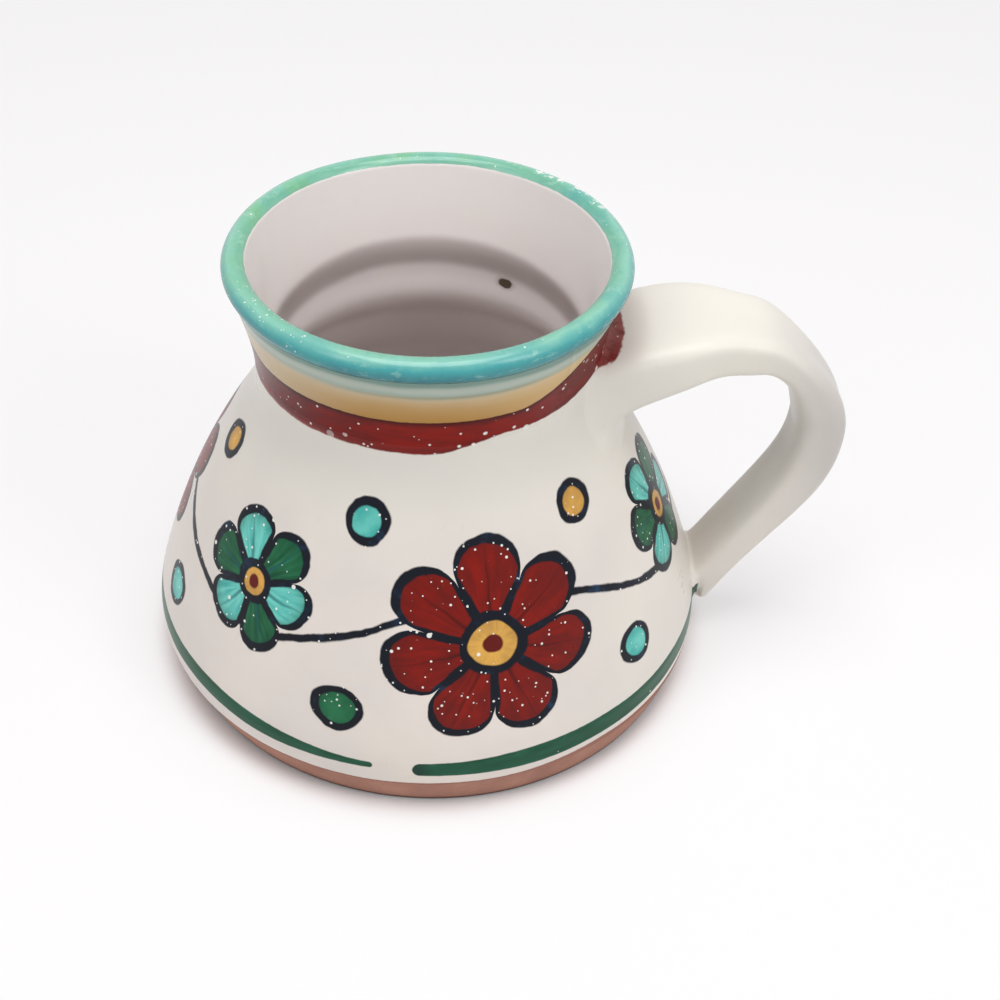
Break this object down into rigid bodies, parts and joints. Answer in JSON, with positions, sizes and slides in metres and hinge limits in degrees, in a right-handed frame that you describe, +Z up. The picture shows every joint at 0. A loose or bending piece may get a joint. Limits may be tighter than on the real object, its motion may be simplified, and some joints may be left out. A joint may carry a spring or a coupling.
{
  "type": "pottery mug",
  "caption": "Wheel-thrown pottery mug with a wide base, narrow flared neck, rolled lip and a pulled strap handle.",
  "frame": {"origin": "centre of the foot's underside, on the plane the mug stands on", "axes": "+Z up out of the mouth, +X from the mug's axis toward the handle, -Y toward the painted front"},
  "size_m": [0.1526, 0.1238, 0.1],
  "materials": {
    "bare_clay": "matt unglazed red clay",
    "handle_clay": "red clay under the glaze",
    "inside_glaze": "glossy warm grey-white glaze",
    "turquoise_glaze": "glossy turquoise glaze",
    "pale_wash": "thin pale green-grey wash",
    "ochre_glaze": "satin ochre band",
    "red_glaze": "brick red band with a ragged brush edge",
    "white_glaze": "satin white glaze",
    "green_glaze": "deep green brush line"
  },
  "bodies": {
    "root": {"clay_body": "bare_clay", "handle": "handle_clay", "upper_joint": "white_glaze", "lower_joint": "white_glaze", "inside_glaze": "inside_glaze", "rim_glaze": "turquoise_glaze", "neck_wash": "pale_wash", "ochre_band": "ochre_glaze", "red_band": "red_glaze", "white_glaze": "white_glaze", "foot_line": "green_glaze", "foot_glaze": "white_glaze", "handle_glaze": "white_glaze"}
  },
  "joints": []
}
